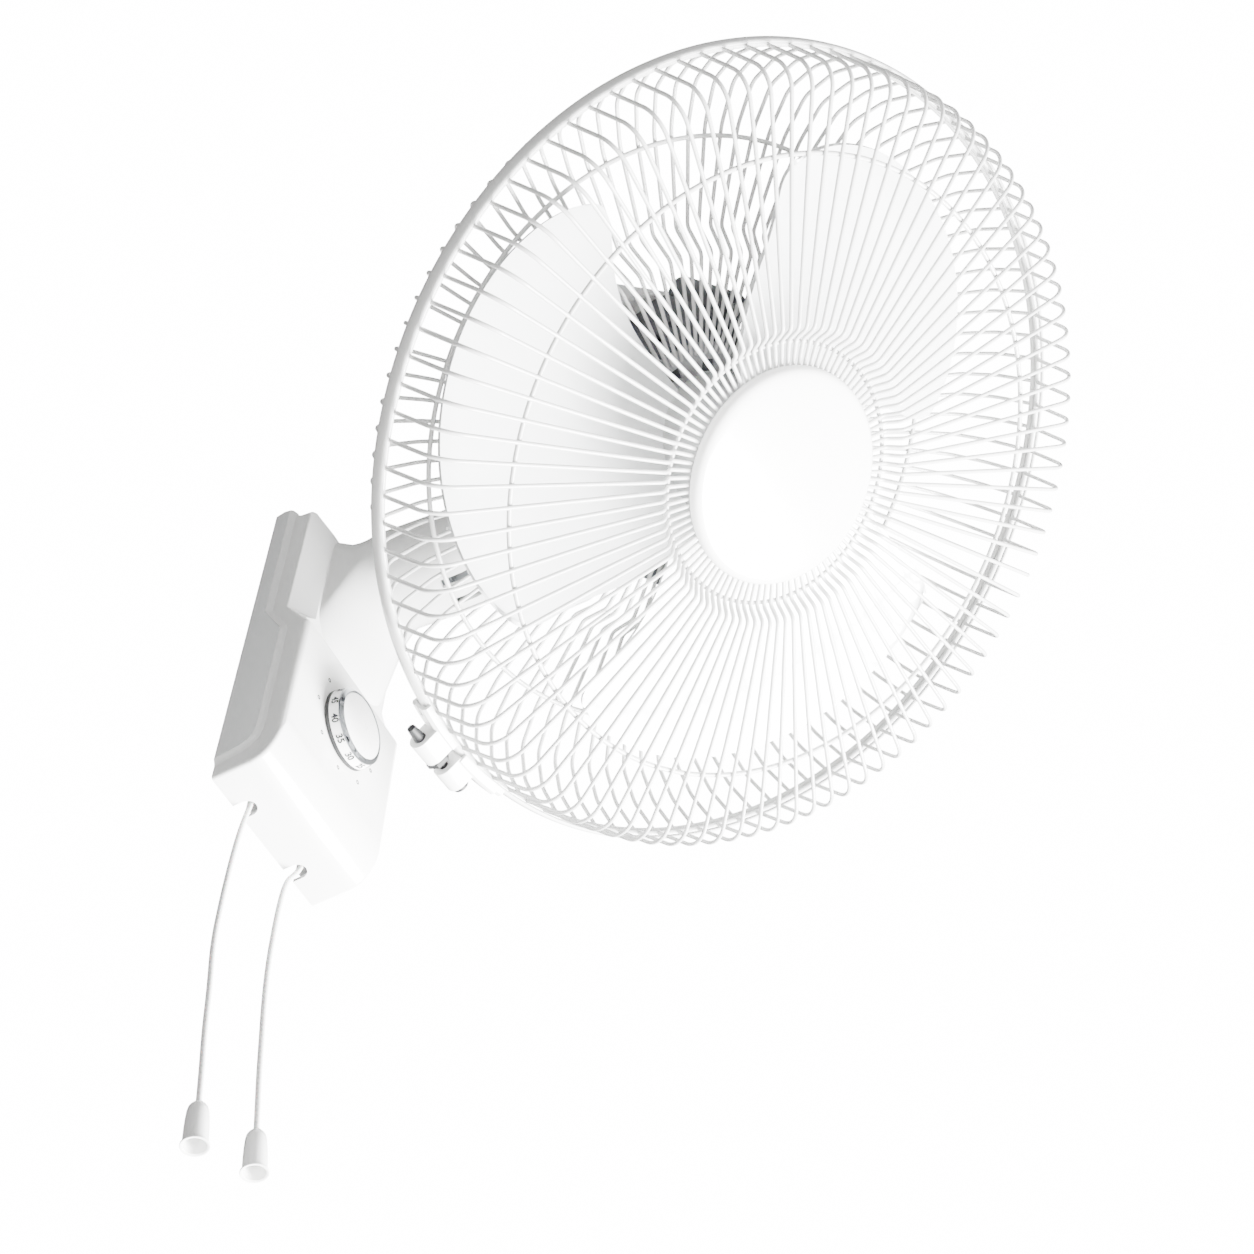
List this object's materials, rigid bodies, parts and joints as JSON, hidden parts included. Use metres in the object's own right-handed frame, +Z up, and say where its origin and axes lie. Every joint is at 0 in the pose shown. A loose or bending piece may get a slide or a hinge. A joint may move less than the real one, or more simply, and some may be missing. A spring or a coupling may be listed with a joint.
{
  "type": "wall mounted fan",
  "caption": "Wall mounted oscillating fan: a guarded blade head on a tilting neck and wall box, with a timer knob and pull cords for speed and swing.",
  "frame": {"origin": "middle of the four wall fixing holes, on the face of the wall", "axes": "+Y into the wall, +Z up, +X to the right of someone facing the wall; the fan is on the -Y side"},
  "size_m": [0.444, 0.4482, 0.5729],
  "materials": {
    "white_plastic": "gloss",
    "shell_plastic": "satin",
    "sleeve_plastic": "gloss",
    "blade_plastic": "gloss",
    "white_enamel": "gloss",
    "hoop_enamel": "gloss",
    "grey_enamel": "satin",
    "motor_casting": "cast",
    "galvanised_steel": "satin",
    "zinc_steel": "satin",
    "bright_steel": "polished",
    "core_steel": "matt",
    "copper_winding": "varnished",
    "bronze": "satin",
    "black_plastic": "matt",
    "natural_nylon": "satin",
    "cord_white": "braided",
    "chrome_trim": "polished"
  },
  "bodies": {
    "base": {"wall_plate": "galvanised_steel", "rear_shell": "shell_plastic", "front_cover": "white_plastic", "cover_screws": "zinc_steel", "neck_bracket": "galvanised_steel", "bracket_screws": "zinc_steel", "tilt_bolt": "zinc_steel", "tilt_nut": "zinc_steel", "tilt_washers": "zinc_steel", "timer_body": "black_plastic", "run_capacitor": "black_plastic", "terminal_block": "natural_nylon", "speed_switch": "black_plastic", "swing_switch": "black_plastic"},
    "knob": {"timer_shaft": "bright_steel", "timer_knob": "white_plastic", "knob_ring": "chrome_trim"},
    "speed_pull": {"speed_lever": "natural_nylon", "speed_cord": "cord_white", "speed_bell": "white_plastic"},
    "swing_pull": {"swing_lever": "natural_nylon", "swing_cord": "cord_white", "swing_bell": "white_plastic"},
    "tilt": {"tilt_knuckle": "galvanised_steel", "pan_pin": "bright_steel", "pan_washer": "natural_nylon", "pan_clip": "zinc_steel"},
    "head": {"front_guard": "white_enamel", "rear_guard": "white_enamel", "guard_plate": "grey_enamel", "guard_nut": "natural_nylon", "hoop": "hoop_enamel", "upper_sleeve": "sleeve_plastic", "lower_sleeve": "sleeve_plastic", "clamp_screw": "black_plastic", "clamp_nut": "black_plastic", "hub_cap": "white_plastic", "cap_retainer": "grey_enamel", "cap_screws": "zinc_steel", "motor_front_case": "motor_casting", "motor_rear_case": "motor_casting", "motor_bolts": "zinc_steel", "stator_core": "core_steel", "stator_coils": "copper_winding", "front_bush": "bronze", "rear_bush": "bronze", "rear_cover": "white_plastic", "cover_screw": "zinc_steel", "swing_motor": "black_plastic", "swing_screws": "zinc_steel"},
    "rotor": {"rotor_core": "core_steel", "rotor_shaft": "bright_steel", "blade_set": "blade_plastic", "blade_nut": "natural_nylon"},
    "crank": {"swing_crank": "galvanised_steel"},
    "link": {"swing_link": "galvanised_steel"}
  },
  "joints": [
    {"name": "head_tilt", "type": "hinge", "parent": "base", "child": "tilt", "pos_m": [0, -0.1248, 0.0929], "axis": [1, 0, 0], "range_deg": [-50, 5]},
    {"name": "head_pan", "type": "hinge", "parent": "tilt", "child": "head", "pos_m": [0, -0.1248, 0.0929], "axis": [0, -0.766, 0.6428], "range_deg": [-40, 40]},
    {"name": "rotor_spin", "type": "hinge", "parent": "head", "child": "rotor", "pos_m": [0, -0.26287, 0.08082], "axis": [0, -0.6428, -0.766], "continuous": true},
    {"name": "swing_crank_turn", "type": "hinge", "parent": "head", "child": "crank", "pos_m": [0.008, -0.11567, 0.14268], "axis": [0, -0.766, 0.6428], "range_deg": [-90, 90]},
    {"name": "swing_link_turn", "type": "hinge", "parent": "crank", "child": "link", "pos_m": [0.0183, -0.1126, 0.1401], "axis": [0, -0.766, 0.6428], "range_deg": [-90, 90]},
    {"name": "knob_turn", "type": "hinge", "parent": "base", "child": "knob", "pos_m": [0, -0.04, -0.0436], "axis": [0, 1, 0], "range_deg": [0, 300]},
    {"name": "speed_pull_slide", "type": "slide", "parent": "base", "child": "speed_pull", "axis": [0, 0, -1], "range_m": [0, 0.012], "stiffness_N_per_m": 300, "springref_m": -0.002},
    {"name": "swing_pull_slide", "type": "slide", "parent": "base", "child": "swing_pull", "axis": [0, 0, -1], "range_m": [0, 0.012], "stiffness_N_per_m": 300, "springref_m": -0.002}
  ],
  "couplings": [
    {"joint": "swing_crank_turn", "follows": "head_pan", "ratio": -2.25},
    {"joint": "swing_link_turn", "follows": "head_pan", "ratio": 2.25}
  ]
}
